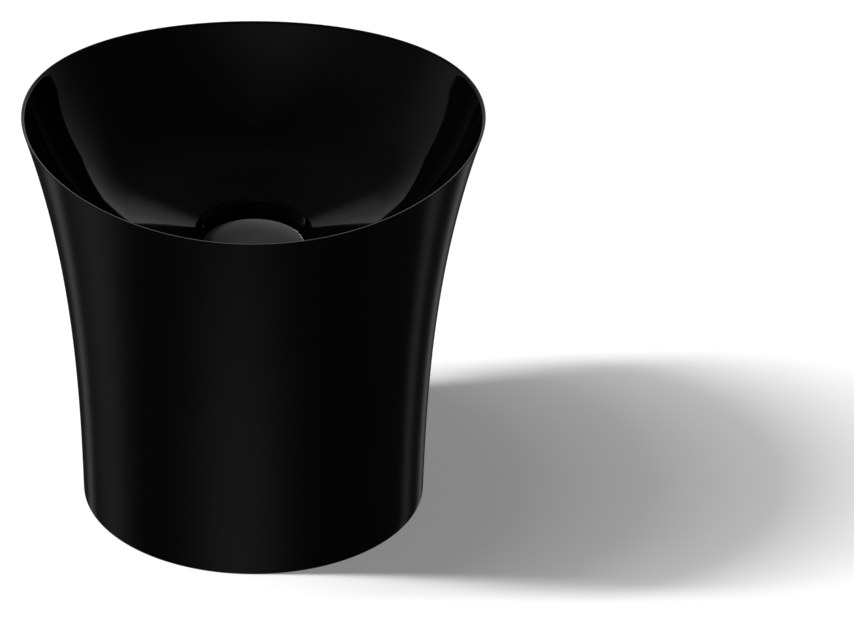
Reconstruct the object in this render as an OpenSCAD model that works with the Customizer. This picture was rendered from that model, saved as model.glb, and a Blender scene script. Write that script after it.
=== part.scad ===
// Drum-shaped washbasin on its own short pedestal: two enamelled steel pressings welded
// at a saddle-shaped rim, a foot ring, a push-button waste with a domed cover and a
// bottle trap with a downward outlet. The origin is the centre of the foot, on the
// surface the basin stands on. +Z is up and the front faces -Y.

/* [Basin] */
// Width across the rim, side to side
rim_w = 400; // [340:1:480]
// Height of the rim at its two sides
height = 373; // [311:1:450]
// How far the rim dips at the front and the back
rim_dip = 15.6; // [6:0.1:24]
// Diameter of the foot
foot_d = 298; // [276:1:358]
// Straight widening of the apron from foot to rim, per side
lean = 10.8; // [0:0.1:16]
// Power of the curve by which the apron flares towards the rim
flare_pow = 2.58; // [1.6:0.01:4]
// Thickness of each enamelled sheet
sheet_t = 1.7; // [1.2:0.05:2.5]

/* [Bowl] */
// Height over which the two sheets lie together below the lowest point of the rim
land_h = 2; // [1:0.5:8]
// Radius of the bend below the rim
brow_r = 35; // [15:1:60]
// Slope of the wall below that bend, in degrees
brow_slope = 62; // [55:0.5:70]
// Radius of the upper wall
wall_r = 184; // [120:1:240]
// Slope where the upper wall meets the lower sweep, in degrees
wall_slope = 44.5; // [35:0.5:50]
// Radius of the sweep from the wall to the floor
sweep_r = 107; // [60:1:120]
// Slope of the floor towards the waste, in degrees
floor_slope = 15; // [5:0.5:20]
// Diameter of the well that the waste cover sits in
well_d = 97; // [90:0.5:120]
// Radius of the shoulder round the well
shoulder_r = 3; // [3:0.5:14]
// Depth of the upright wall of the well
well_h = 22.9; // [14:0.1:30]
// Radius at the bottom of the well
well_fillet = 5; // [2:0.5:6]
// Radial clearance of the waste hole round the waste's thread
hole_gap = 1.55; // [0.5:0.05:3]

/* [Foot] */
// Thickness of the foot ring
foot_t = 3; // [2:0.5:5]
// Diameter of the opening in the foot ring
foot_open_d = 218; // [210:1:222]
// Height of the foot ring's upright leg
foot_leg = 22; // [12:1:40]
// Thickness of the sealing strip under the foot ring
seal_t = 3; // [2:0.5:5]
// Width of the sealing strip
seal_w = 13; // [6:1:15]
// Distance of the fixing nuts from the edge of that opening
fix_edge = 16; // [10:0.5:18]
// Number of fixing nuts
fix_n = 4; // [3:1:6]
// Diameter of the thread bore in each nut
fix_bore = 6.8; // [5:0.1:8.5]
// Height of each fixing nut
fix_h = 8; // [6:0.5:12]

/* [Sound pads] */
// Number of sound-deadening pads under the bowl
pad_n = 3; // [2:1:6]
// Thickness of each pad
pad_t = 2.5; // [1:0.5:4]
// Distance of the pads from the bends of the bowl's floor
pad_edge = 3; // [1:0.5:8]

/* [Waste] */
// Gap between the domed cover and the wall of the well
cover_clear = 4; // [2:0.5:8]
// Rise of the dome above its edge
cover_rise = 6; // [3:0.5:12]
// Height of the cover's turned-down edge
cover_edge = 4; // [3:0.5:6]
// Thickness of the enamelled cover
cover_t = 1.6; // [1:0.1:2]
// Height of the cover's edge above the floor of the well when shut
cover_gap = 4.5; // [3:0.5:8]
// Travel of the cover from shut to open
cover_travel = 10; // [6:0.5:10]
// Outside diameter of the waste's thread
tail_d = 41.9; // [40:0.1:43.5]
// Wall of the waste's tail
tail_t = 2.45; // [1.5:0.05:3]
// Length of the tail below the bridge
tail_below = 8; // [6:0.5:20]
// Diameter of the waste's flange
flange_d = 72; // [60:1:78]
// Thickness of the waste's flange
flange_t = 2.5; // [1.5:0.5:3]
// Thickness of the gasket under the flange
gasket_t = 1.5; // [1:0.5:3]
// Width of the rubber seal under the cover
seal_ring_w = 13.5; // [6:0.5:14]
// Height of the nut that clamps the waste to the bowl
backnut_h = 9; // [7:0.5:12]
// Outside diameter of the push-button cartridge
cart_d = 19; // [17:0.5:22]
// Diameter of the plunger's stem
stem_d = 8; // [6:0.5:8]

/* [Trap] */
// Outside diameter of the trap's pipes
pipe_d = 32; // [30:0.5:34]
// Wall of the trap's pipes
pipe_t = 1.4; // [1:0.1:2]
// Outside diameter of the trap's body
trap_d = 58; // [54:1:64]
// Wall of the trap's body and cup
trap_t = 2; // [1.5:0.5:3]
// Depth of water that the trap holds
seal_depth = 50; // [50:1:60]
// Bend radius of the outlet pipe
bend_r = 28; // [22:1:30]
// Gap between the end of the outlet pipe and the surface below
outlet_gap = 4; // [2:0.5:10]

/* [Fits] */
// Radial clearance of parts that slide or turn in each other
run_gap = 0.05; // [0.02:0.01:0.1]
// Gap between faces of moving parts that meet at a stop
stop_gap = 0.3; // [0.2:0.05:0.5]

/* [Hidden] */
$fn = 96;
eps = 0.01;

enamel = [0.02, 0.02, 0.02];
galvanised = [0.62, 0.64, 0.66];
brass = [0.78, 0.66, 0.36];
chrome = [0.8, 0.81, 0.83];
rubber = [0.07, 0.07, 0.08];
plastic = [0.86, 0.86, 0.84];

// Apron: radius of its outer face at height z.
rim_r = rim_w / 2;
foot_r = foot_d / 2;
flare = rim_r - foot_r - lean;
function apron_r(z) = foot_r + lean * z / height + flare * pow(z / height, flare_pow);
function apron_lean(z) = (lean + flare * flare_pow * pow(z / height, flare_pow - 1)) / height;
rim_low = height - rim_dip;
trim_r = (rim_r * rim_r + rim_dip * rim_dip) / (2 * rim_dip);
spare_h = 3;

// Bowl: its upper face is a chain of tangent arcs. A slope s on a hollow arc of radius r
// lies at [r * sin(s), -r * cos(s)] from the centre, and on a round arc at the opposite side.
land_z = rim_low - land_h;
land_slope = 90 - atan(apron_lean(land_z));
sheet_w = sheet_t / sin(land_slope);
brow_end = min(brow_slope, land_slope);
well_r = well_d / 2;
tail_r = tail_d / 2;
function on_arc(c, r, s) = [c[0] + r * sin(s), c[1] - r * cos(s)];
function centre_of(p, r, s) = [p[0] - r * sin(s), p[1] + r * cos(s)];
function arc(c, r, s0, s1, n) = [for (i = [0 : n]) on_arc(c, r, s0 + (s1 - s0) * i / n)];
land_p = [apron_r(land_z) - 2 * sheet_w, land_z];
brow_c = centre_of(land_p, brow_r, land_slope);
wall_c = centre_of(on_arc(brow_c, brow_r, brow_end), wall_r, brow_end);
sweep_c = centre_of(on_arc(wall_c, wall_r, wall_slope), sweep_r, wall_slope);
floor_p = on_arc(sweep_c, sweep_r, floor_slope);
shoulder_x = well_r + shoulder_r;
lip_p = [
    shoulder_x - shoulder_r * sin(floor_slope),
    floor_p[1] - (floor_p[0] - shoulder_x + shoulder_r * sin(floor_slope)) * tan(floor_slope)
];
shoulder_c = [shoulder_x, lip_p[1] - shoulder_r * cos(floor_slope)];
well_z = shoulder_c[1] - well_h;
fillet_c = [well_r - well_fillet, well_z + well_fillet];
// Points of the bowl from the land inwards, on the face that lies o below the upper one.
function bowl_face(o) = concat(
    arc(brow_c, brow_r + o, land_slope, brow_end, 4),
    arc(wall_c, wall_r + o, brow_end, wall_slope, 8),
    arc(sweep_c, sweep_r + o, wall_slope, floor_slope, 12),
    arc(shoulder_c, o - shoulder_r, floor_slope, 90, 9),
    arc(fillet_c, well_fillet + o, 90, 0, 5),
    [[tail_r + hole_gap, well_z - o]]
);
land_top = height + spare_h;
function land_face(x) = [
    for (i = [0 : 6]) let (z = land_top + (land_z - land_top) * i / 6) [apron_r(z) - x, z]
];

// Heights below or above the floor of the well.
flange_top = well_z + gasket_t + flange_t;
sheet_low = well_z - sheet_t;
tail_gasket_t = 5;
washer_t = 1.5;
backnut_z = sheet_low - tail_gasket_t - washer_t - backnut_h;
tail_bore = tail_r - tail_t;
bridge_t = 6;
hub_r = 8;
rib_w = 3;

// Cartridge, plunger and cover.
cart_r = cart_d / 2;
cart_wall = 2;
cart_bore = cart_r - cart_wall;
cart_cap_z = well_z + 1;
cart_cap_t = 3;
stem_r = stem_d / 2;
head_t = 3;
cam_t = 4;
head_z = cart_cap_z - cover_travel - cam_t - head_t - 2;
pin_h = 5;
cart_floor = head_z - pin_h - 6;
bridge_top = cart_floor - 3;
bridge_z = bridge_top - bridge_t;
tail_end = bridge_z - tail_below;
wire_r = 0.5;
spring_r = cart_bore - 1.6;
spring_turns = 5;
cover_r = well_r - cover_clear;
cover_z = well_z + cover_gap;
dome_r = (cover_r * cover_r + cover_rise * cover_rise) / (2 * cover_rise);
function dome_z(r, o) = cover_z + cover_edge + cover_rise - dome_r
    + sqrt((dome_r - o) * (dome_r - o) - r * r);
seal_z = flange_top + stop_gap;
seal_ring_t = 3.4;
seal_ring_in = tail_bore + 1;
seal_ring_out = seal_ring_in + seal_ring_w;
hub_z = seal_z + seal_ring_t;
hub_disc_r = seal_ring_out - 3;
hub_top = dome_z(hub_disc_r, cover_t);
boss_r = 8;
boss_z = cart_cap_z + cart_cap_t + stop_gap + 0.6;
boss_top = dome_z(boss_r, cover_t);
stem_top = boss_top - 1;

// Trap, from the waste downwards.
pipe_r = pipe_d / 2;
pipe_bore = pipe_r - pipe_t;
slip_t = 2.5;
collar_t = 2.5;
lip_t = 3;
collar_r = tail_r - 0.5;
collar_z = tail_end - slip_t - collar_t;
inlet_nut_z = collar_z - lip_t;
inlet_nut_h = 20;
nut_r = tail_r + 5;
body_nut_top = inlet_nut_z - 4;
body_nut_h = 14;
spigot_r = pipe_r + 5;
spigot_top = body_nut_top - lip_t - slip_t;
trap_r = trap_d / 2;
neck_z = body_nut_top - body_nut_h - 2;
outlet_r = pipe_r + 3;
outlet_z = neck_z - 18;
collar_low = outlet_z - outlet_r + 1;
cup_top = collar_low - 3 - 2;
cup_ring_t = 2;
thread_h = 8;
dip_end = outlet_z - pipe_bore - seal_depth;
cup_floor = dip_end - 13;
cup_low = cup_floor - trap_t;
cup_r = trap_r + 2;
outlet_face = trap_r + 17;
outlet_nut_y = outlet_face - 10;
outlet_nut_h = 10 + slip_t + lip_t;
socket_depth = 12;
bend_y = outlet_face + slip_t + lip_t + 3;
nut_ribs = 24;

// Ring of height h on the Z axis, from radius r0 to radius r1, with its foot at z.
module ring(r0, r1, z, h) {
    translate([0, 0, z]) difference() {
        cylinder(r = r1, h = h);
        translate([0, 0, -1]) cylinder(r = r0, h = h + 2);
    }
}

// Turned shape from a closed outline of [radius, height] points.
module turned(points) {
    rotate_extrude($fn = 180) polygon(points);
}

// Upright grip ribs round a nut or cup of radius r.
module grips(r, z, h, n) {
    for (i = [0 : n - 1]) rotate([0, 0, 360 * i / n])
        translate([r - 1, -0.9, z]) cube([2, 1.8, h]);
}

// Slip nut: threaded bore, and a lip at its lower end that bears on the pipe's collar.
module slip_nut(r_out, r_thread, r_lip, h) {
    ring(r_lip, r_out, 0, lip_t);
    ring(r_thread, r_out, lip_t - eps, h - lip_t + eps);
    grips(r_out, 1.5, h - 3, nut_ribs);
}

// Everything above the saddle, which trims both sheets to the rim.
module above_rim() {
    translate([0, 0, rim_low + trim_r]) rotate([90, 0, 0])
        cylinder(r = trim_r, h = 2 * rim_w, center = true, $fn = 720);
}

module apron() {
    steps = 24;
    outer = [for (i = [0 : steps]) let (z = land_top * i / steps) [apron_r(z), z]];
    inner = [for (i = [steps : -1 : 0]) let (z = land_top * i / steps) [apron_r(z) - sheet_w, z]];
    color(enamel) difference() {
        turned(concat(outer, inner));
        above_rim();
    }
}

module bowl() {
    lower = bowl_face(sheet_t);
    upper = bowl_face(0);
    last = len(upper) - 1;
    color(enamel) difference() {
        turned(concat(
            land_face(sheet_w + 0.02), lower,
            [for (i = [last : -1 : 0]) upper[i]],
            [for (i = [6 : -1 : 0]) land_face(2 * sheet_w)[i]]
        ));
        above_rim();
    }
}

module foot_ring() {
    leg_top = seal_t + foot_leg;
    weld_gap = 0.03;
    hug = apron_r(seal_t) - sheet_w - weld_gap;
    hug_top = apron_r(leg_top) - sheet_w - weld_gap;
    color(galvanised) difference() {
        turned([
            [foot_open_d / 2, seal_t], [hug, seal_t], [hug_top, leg_top],
            [hug_top - foot_t, leg_top], [hug - foot_t, seal_t + foot_t],
            [foot_open_d / 2, seal_t + foot_t]
        ]);
        at_fixings() translate([0, 0, seal_t - 1]) cylinder(d = fix_bore + 2, h = foot_t + 2);
    }
}

module at_fixings() {
    for (i = [0 : fix_n - 1]) rotate([0, 0, 45 + 360 * i / fix_n])
        translate([foot_open_d / 2 + fix_edge, 0, 0]) children();
}

module fixing_nuts() {
    color(galvanised) at_fixings() translate([0, 0, seal_t + foot_t]) difference() {
        cylinder(d = fix_bore * 2.1, h = fix_h, $fn = 6);
        translate([0, 0, -1]) cylinder(d = fix_bore, h = fix_h + 2);
    }
}

module base_seal() {
    seal_r = foot_r - sheet_w - 0.5;
    color(rubber) ring(seal_r - seal_w, seal_r, 0, seal_t);
}

// Pads glued to the underside of the sloping floor.
module sound_pads() {
    gap = 30;
    span = 360 / pad_n - gap;
    under = [floor_p[0] + sheet_t * sin(floor_slope), floor_p[1] - sheet_t * cos(floor_slope)];
    tilt = tan(floor_slope);
    out_r = under[0] - pad_edge;
    in_r = lip_p[0] + sheet_t * sin(floor_slope) + pad_edge;
    out_z = under[1] - pad_edge * tilt;
    in_z = out_z - (out_r - in_r) * tilt;
    drop = pad_t / cos(floor_slope);
    color(rubber) for (i = [0 : pad_n - 1]) rotate([0, 0, gap / 2 + 360 * i / pad_n])
        rotate_extrude(angle = span, $fn = 180) polygon([
            [in_r, in_z - drop], [out_r, out_z - drop], [out_r, out_z], [in_r, in_z]
        ]);
}

// Waste: flange, threaded tail and the bridge that carries the cartridge.
module waste_body() {
    bore = tail_bore;
    color(chrome) {
        turned([
            [bore, tail_end], [tail_r, tail_end], [tail_r, flange_top - flange_t],
            [flange_d / 2, flange_top - flange_t], [flange_d / 2, flange_top - 1],
            [flange_d / 2 - 1.2, flange_top], [bore + 1.5, flange_top], [bore, flange_top - 1.5]
        ]);
        ring(stem_r, hub_r, bridge_z, bridge_t);
        for (a = [0 : 90 : 270]) rotate([0, 0, a])
            translate([hub_r - 1, -rib_w / 2, bridge_z]) cube([bore - hub_r + 1.5, rib_w, bridge_t]);
    }
}

module flange_gasket() {
    color(rubber) ring(tail_r, flange_d / 2 - 2, well_z, gasket_t);
}

module tail_gasket() {
    out = flange_d / 2 - 1;
    color(rubber) turned([
        [tail_r, sheet_low - tail_gasket_t], [out - 4, sheet_low - tail_gasket_t],
        [out, sheet_low - 1], [out, sheet_low], [tail_r, sheet_low]
    ]);
}

module slip_washer() {
    color(plastic) ring(tail_r, flange_d / 2, backnut_z + backnut_h, washer_t);
}

module backnut() {
    color(brass) translate([0, 0, backnut_z]) difference() {
        union() {
            cylinder(r = tail_r * 1.45, h = backnut_h, $fn = 6);
            translate([0, 0, backnut_h - 2.5]) cylinder(r = tail_r * 1.5, h = 2.5);
        }
        translate([0, 0, -1]) cylinder(r = tail_r, h = backnut_h + 2);
    }
}

// Cartridge of the push-button mechanism, screwed into the bridge.
module cartridge_housing() {
    stud_z = tail_end + 1;
    color(plastic) {
        ring(cart_bore, cart_r, cart_floor - eps, cart_cap_z - cart_floor + eps);
        translate([0, 0, bridge_top]) cylinder(r = cart_r, h = cart_floor - bridge_top);
        translate([0, 0, stud_z]) cylinder(r = stem_r, h = bridge_top - stud_z + 1);
    }
}

module cartridge_cap() {
    color(plastic) ring(stem_r + run_gap, cart_r, cart_cap_z, cart_cap_t);
}

module bridge_nut() {
    nut_h = 5;
    color(brass) translate([0, 0, bridge_z - nut_h]) difference() {
        cylinder(d = stem_d * 1.85, h = nut_h, $fn = 6);
        translate([0, 0, -1]) cylinder(r = stem_r, h = nut_h + 2);
    }
}

module plunger() {
    pin_r = 2.6;
    color(brass) {
        translate([0, 0, head_z]) cylinder(r = cart_bore - run_gap, h = head_t);
        translate([0, 0, head_z + head_t - 1]) cylinder(r = stem_r, h = stem_top - head_z - head_t + 1);
        translate([0, 0, head_z - pin_h]) cylinder(r = pin_r, h = pin_h + 1);
    }
}

// Notched ring that turns an eighth of a turn each time the cover is pressed.
module click_cam() {
    notches = 8;
    cam_z = head_z + head_t + stop_gap;
    out = cart_bore - run_gap;
    color(plastic) difference() {
        ring(stem_r + run_gap, out, cam_z, cam_t);
        for (i = [0 : notches - 1]) rotate([0, 0, 360 * i / notches])
            translate([out - 1.5, -0.7, cam_z + cam_t - 2]) cube([3, 1.4, 3]);
    }
}

// Round wire swept along a helix, as one closed skin.
function coil_point(t, a, z0, rise) = let (
    turn = 360 * spring_turns * t,
    r = spring_r + wire_r * cos(a)
) [r * cos(turn), r * sin(turn), z0 + rise * t + wire_r * sin(a)];

module click_spring() {
    sides = 8;
    rings = 16 * spring_turns;
    low = cart_floor + wire_r + 0.05;
    rise = head_z - wire_r - 0.05 - low;
    pts = [for (i = [0 : rings]) for (j = [0 : sides - 1])
        coil_point(i / rings, 360 * j / sides, low, rise)];
    walls = [for (i = [0 : rings - 1]) for (j = [0 : sides - 1]) [
        i * sides + j, (i + 1) * sides + j,
        (i + 1) * sides + (j + 1) % sides, i * sides + (j + 1) % sides
    ]];
    start = [[for (j = [0 : sides - 1]) j]];
    end = [[for (j = [sides - 1 : -1 : 0]) rings * sides + j]];
    color(galvanised) polyhedron(pts, concat(walls, start, end));
}

module waste_cover() {
    steps = 10;
    edge_in = cover_r - cover_t;
    fillet = cover_t;
    top = [for (i = [0 : steps]) let (r = (cover_r - fillet) * i / steps) [r, dome_z(r, 0)]];
    under = [for (i = [steps : -1 : 0]) let (r = edge_in * i / steps) [r, dome_z(r, cover_t)]];
    corner = dome_z(cover_r - fillet, 0) - fillet;
    bend = [for (s = [60 : -30 : 0]) [cover_r - fillet + fillet * cos(s), corner + fillet * sin(s)]];
    color(enamel) turned(concat(top, bend, [[cover_r, cover_z], [edge_in, cover_z]], under));
}

// Hub under the cover: a plate that backs the seal, and a threaded boss for the stem.
module cover_hub() {
    color(brass) {
        ring(stem_r + run_gap, hub_disc_r, hub_z, hub_top - hub_z);
        ring(stem_r + run_gap, boss_r, boss_z, boss_top - boss_z);
    }
}

module cover_seal() {
    color(rubber) turned([
        [seal_ring_in, seal_z + 1], [seal_ring_in + 1, seal_z], [seal_ring_out - 1, seal_z],
        [seal_ring_out, seal_z + 1], [seal_ring_out, hub_z], [seal_ring_in, hub_z]
    ]);
}

module inlet_nut() {
    color(chrome) translate([0, 0, inlet_nut_z]) slip_nut(nut_r, tail_r, pipe_r, inlet_nut_h);
}

module inlet_washer() {
    color(rubber) ring(pipe_bore, collar_r, tail_end - slip_t, slip_t);
}

// Pipe from the waste down into the trap's cup.
module dip_tube() {
    color(chrome) {
        ring(pipe_bore, pipe_r, dip_end, tail_end - slip_t - dip_end);
        ring(pipe_r - eps, collar_r, collar_z, collar_t);
    }
}

module body_nut() {
    color(chrome) translate([0, 0, body_nut_top]) mirror([0, 0, 1])
        slip_nut(spigot_r + 4, spigot_r, pipe_r, body_nut_h);
}

module body_washer() {
    color(rubber) ring(pipe_r, spigot_r - 0.5, spigot_top, slip_t);
}

// Body of the bottle trap: neck, drum, side outlet and the thread for the cup.
module trap_body() {
    inside = trap_r - trap_t;
    thread_r = trap_r - 1;
    color(chrome) difference() {
        union() {
            turned([
                [pipe_r, spigot_top], [spigot_r, spigot_top], [spigot_r, neck_z],
                [trap_r - 3, neck_z - 1], [trap_r, neck_z - 4], [trap_r, cup_top + 5],
                [cup_r, cup_top + 5], [cup_r, cup_top + cup_ring_t], [thread_r, cup_top + cup_ring_t],
                [thread_r, cup_top - thread_h], [inside - 1, cup_top - thread_h],
                [inside - 1, cup_top + 5], [inside, cup_top + 6], [inside, neck_z - 5],
                [inside - 2, neck_z - 3.5], [pipe_r, neck_z - 3]
            ]);
            translate([0, inside, outlet_z]) rotate([-90, 0, 0])
                cylinder(r = outlet_r, h = outlet_face - inside);
        }
        translate([0, pipe_r + 2, outlet_z]) rotate([-90, 0, 0])
            cylinder(r = pipe_bore, h = outlet_face);
        translate([0, outlet_face - socket_depth, outlet_z]) rotate([-90, 0, 0])
            cylinder(r = pipe_r, h = socket_depth + 1);
    }
}

module cup_gasket() {
    color(rubber) ring(trap_r - 1, cup_r, cup_top + run_gap, cup_ring_t - run_gap);
}

// Cup that unscrews downwards for cleaning.
module trap_cup() {
    thread_in = trap_r - 1 + run_gap;
    round_r = 6;
    inside = trap_r - 0.4;
    color(chrome) {
        turned(concat(
            [[thread_in, cup_top - run_gap], [thread_in, cup_top - thread_h - 1],
             [inside, cup_top - thread_h - 1.6]],
            [for (s = [0 : 30 : 90]) [inside - round_r + round_r * cos(s),
                cup_floor + round_r - round_r * sin(s)]],
            [[0, cup_floor], [0, cup_low]],
            [for (s = [90 : -30 : 0]) [cup_r - round_r + round_r * cos(s),
                cup_low + round_r - round_r * sin(s)]],
            [[cup_r, cup_top - run_gap]]
        ));
        grips(cup_r, cup_top - 20, 18, 12);
    }
}

module outlet_nut() {
    color(chrome) translate([0, outlet_nut_y + outlet_nut_h, outlet_z]) rotate([90, 0, 0])
        slip_nut(outlet_r + 4.5, outlet_r, pipe_r, outlet_nut_h);
}

module outlet_washer() {
    color(rubber) translate([0, outlet_face, outlet_z]) rotate([-90, 0, 0])
        ring(pipe_r, outlet_r - 0.5, 0, slip_t);
}

// Outlet: out of the trap to the back, then down to just above the surface below.
module outlet_pipe() {
    start = outlet_face - socket_depth;
    down_y = bend_y + bend_r;
    bend_z = outlet_z - bend_r;
    color(chrome) {
        translate([0, start, outlet_z]) rotate([-90, 0, 0])
            ring(pipe_bore, pipe_r, 0, bend_y - start);
        translate([0, bend_y, bend_z]) rotate([90, 0, 90])
            rotate_extrude(angle = 90) translate([bend_r, 0]) difference() {
                circle(r = pipe_r);
                circle(r = pipe_bore);
            }
        translate([0, down_y, 0]) ring(pipe_bore, pipe_r, outlet_gap, bend_z - outlet_gap);
    }
}

apron();
bowl();
foot_ring();
fixing_nuts();
base_seal();
sound_pads();
waste_cover();
cover_hub();
cover_seal();
plunger();
click_cam();
click_spring();
cartridge_housing();
cartridge_cap();
bridge_nut();
waste_body();
flange_gasket();
tail_gasket();
slip_washer();
backnut();
inlet_nut();
inlet_washer();
dip_tube();
body_nut();
body_washer();
trap_body();
cup_gasket();
trap_cup();
outlet_nut();
outlet_washer();
outlet_pipe();
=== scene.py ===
# %% [markdown]
# # A drum-shaped washbasin in black enamel
#
# The basin is two pressings of thin steel: an apron, which is the outside, and a bowl.
# They are welded at a rim that dips at the front and the back, and both are coated with
# glass enamel. Inside the hollow foot hang the waste, with its push-button cover, and a
# bottle trap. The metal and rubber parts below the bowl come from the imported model. This
# lesson makes the pieces whose curves show, and then gives every part its finish.

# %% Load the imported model
import math

import bpy
import numpy as np
from mathutils import Matrix, Vector


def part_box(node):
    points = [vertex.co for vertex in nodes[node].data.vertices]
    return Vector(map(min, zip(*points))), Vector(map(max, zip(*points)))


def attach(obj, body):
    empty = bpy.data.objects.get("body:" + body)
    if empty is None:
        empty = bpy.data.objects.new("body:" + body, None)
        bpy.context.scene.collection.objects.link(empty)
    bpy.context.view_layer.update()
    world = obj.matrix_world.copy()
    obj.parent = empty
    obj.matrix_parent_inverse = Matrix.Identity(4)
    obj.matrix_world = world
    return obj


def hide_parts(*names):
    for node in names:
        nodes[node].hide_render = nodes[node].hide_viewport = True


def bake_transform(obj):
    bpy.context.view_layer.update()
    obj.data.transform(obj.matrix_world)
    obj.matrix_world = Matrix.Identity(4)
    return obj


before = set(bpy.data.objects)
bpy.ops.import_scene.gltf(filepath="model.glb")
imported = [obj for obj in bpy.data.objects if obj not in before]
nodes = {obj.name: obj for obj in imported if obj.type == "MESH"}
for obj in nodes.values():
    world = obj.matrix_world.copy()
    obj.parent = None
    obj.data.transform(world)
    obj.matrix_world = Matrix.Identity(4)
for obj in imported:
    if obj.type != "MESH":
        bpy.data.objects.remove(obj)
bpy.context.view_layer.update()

# %% [markdown]
# ## Sizes
#
# The pressings are drawn in millimetres, as they are on a drawing, and are turned into
# metres at the last step. The width, the height and the foot are the ones that the packed
# parts were built to, and the boxes of the apron and the bowl are printed beside them so
# that they can be compared. The waste cover and the spring are read from their boxes.

# %% Sizes in millimetres
MM = 0.001
apron_low, apron_high = (np.array(corner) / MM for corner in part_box("apron"))
bowl_low, bowl_high = (np.array(corner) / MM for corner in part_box("bowl"))
cover_low, cover_high = (np.array(corner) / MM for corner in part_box("waste_cover"))
rim_radius = 200.0
side_height = 373.0
rim_dip = 15.6
foot_radius = 149.0
lean = 10.8
flare_power = 2.58
sheet = 1.7
land_height = 2.0
print("apron", apron_low.round(2), apron_high.round(2), "drawn", rim_radius, side_height)
print("bowl", bowl_low.round(2), bowl_high.round(2))
print("cover", cover_low.round(2), cover_high.round(2))

# %% [markdown]
# ## From a grid of points to a mesh
#
# Every surface here is a grid of points: the rows run along a profile and the columns go
# round the upright axis. Spinning a curve with a modifier would also work, but it can't
# make a rim whose height changes as it goes round. On a grid each row may have its own
# height in each column, so the saddle of the rim is part of the formula.

# %% Mesh helpers
def grid_faces(rows, columns, close_rows):
    """Corner numbers of the quads between neighbouring rows and columns.

    The last column joins the first. With close_rows the last row joins the first too.
    """
    row_count = rows if close_rows else rows - 1
    row = np.arange(row_count)[:, None]
    column = np.arange(columns)[None, :]
    next_row = (row + 1) % rows
    next_column = (column + 1) % columns
    corners = [
        row * columns + column,
        row * columns + next_column,
        next_row * columns + next_column,
        next_row * columns + column,
    ]
    return np.stack(corners, axis=-1).reshape(-1, 4)


def fan_faces(pole, ring_start, columns, forwards):
    """Triangles from a pole to the ring of points that starts at ring_start."""
    first = ring_start + np.arange(columns)
    second = ring_start + (np.arange(columns) + 1) % columns
    edge = (second, first) if forwards else (first, second)
    return np.stack([np.full(columns, pole), *edge], axis=-1)


def signed_volume(points, quads, triangles):
    """Sum over all triangles of the box product of their corners, divided by six."""
    split = np.concatenate([quads[:, [0, 1, 2]], quads[:, [0, 2, 3]], triangles])
    a, b, c = (points[split[:, k]] for k in range(3))
    return float((np.cross(a, b) * c).sum() / 6.0)


def piece_from_arrays(name, points, quads, triangles, sharp_degrees=35.0):
    """Object at the origin whose mesh has these points in millimetres and these faces.

    The faces are turned over if their volume comes out negative, so they point outwards.
    """
    volume = signed_volume(points, quads, triangles)
    if volume < 0:
        quads, triangles = quads[:, ::-1], triangles[:, ::-1]
    mesh = bpy.data.meshes.new(name)
    mesh.vertices.add(len(points))
    mesh.vertices.foreach_set("co", (points * MM).astype(np.float32).ravel())
    corners = np.concatenate([quads.ravel(), triangles.ravel()]).astype(np.int32)
    starts = np.concatenate([
        4 * np.arange(len(quads)),
        4 * len(quads) + 3 * np.arange(len(triangles)),
    ]).astype(np.int32)
    mesh.loops.add(len(corners))
    mesh.loops.foreach_set("vertex_index", corners)
    mesh.polygons.add(len(starts))
    mesh.polygons.foreach_set("loop_start", starts)
    mesh.update(calc_edges=True)
    mesh.validate()
    mesh.shade_smooth()
    mesh.set_sharp_from_angle(angle=math.radians(sharp_degrees))
    piece = bpy.data.objects.new(name, mesh)
    bpy.context.scene.collection.objects.link(piece)
    print(name, len(points), "points", len(starts), "faces", round(abs(volume) / MM3_PER_CM3, 2), "cm3")
    return piece


def turned_points(radius, height, azimuth):
    """Points at a radius and height for each row and column, round the upright axis."""
    radius, height = np.broadcast_arrays(radius, height)
    x = radius * np.cos(azimuth)
    y = radius * np.sin(azimuth)
    return np.stack([x, y, height + 0 * x], axis=-1)


NO_TRIANGLES = np.zeros((0, 3), int)
MM3_PER_CM3 = 1000
COLUMNS = 288
azimuth = np.linspace(0, 2 * np.pi, COLUMNS, endpoint=False)

# %% [markdown]
# ## The outside face and the rim
#
# The apron leans out a little all the way up, and flares faster towards the top. A sum of
# a straight lean and a power of the height draws both with three numbers. The rim is cut
# by a large cylinder that lies from front to back, which is why it dips at the front and
# the back and rises at the two sides. Where the cut meets the flare depends on how wide
# the flare is there, so the height is found by a few rounds of putting one into the other.

# %% Outside profile and rim height
flare = rim_radius - foot_radius - lean
rim_low = side_height - rim_dip
trim_radius = (rim_radius ** 2 + rim_dip ** 2) / (2 * rim_dip)


def outer_radius(z):
    """Foot radius, plus the lean times the height, plus the flare times a power of it."""
    share = z / side_height
    return foot_radius + lean * share + flare * share ** flare_power


def outer_lean(z):
    """Sideways run of the outside face for each unit of height: its derivative."""
    share = z / side_height
    return (lean + flare * flare_power * share ** (flare_power - 1)) / side_height


land_z = rim_low - land_height
land_slope = 90 - math.degrees(math.atan(outer_lean(land_z)))
sheet_across = sheet / math.sin(math.radians(land_slope))


def seam_radius(z):
    """Radius of the line where the two sheets touch."""
    return outer_radius(z) - sheet_across


RIM_ROUNDS = 8
rim_z = np.full_like(azimuth, rim_low)
for _ in range(RIM_ROUNDS):
    sideways = outer_radius(rim_z) * np.cos(azimuth)
    rim_z = rim_low + trim_radius - np.sqrt(trim_radius ** 2 - sideways ** 2)
rim_outer = outer_radius(rim_z)
print("rim height from", rim_z.min().round(2), "to", rim_z.max().round(2))

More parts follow.
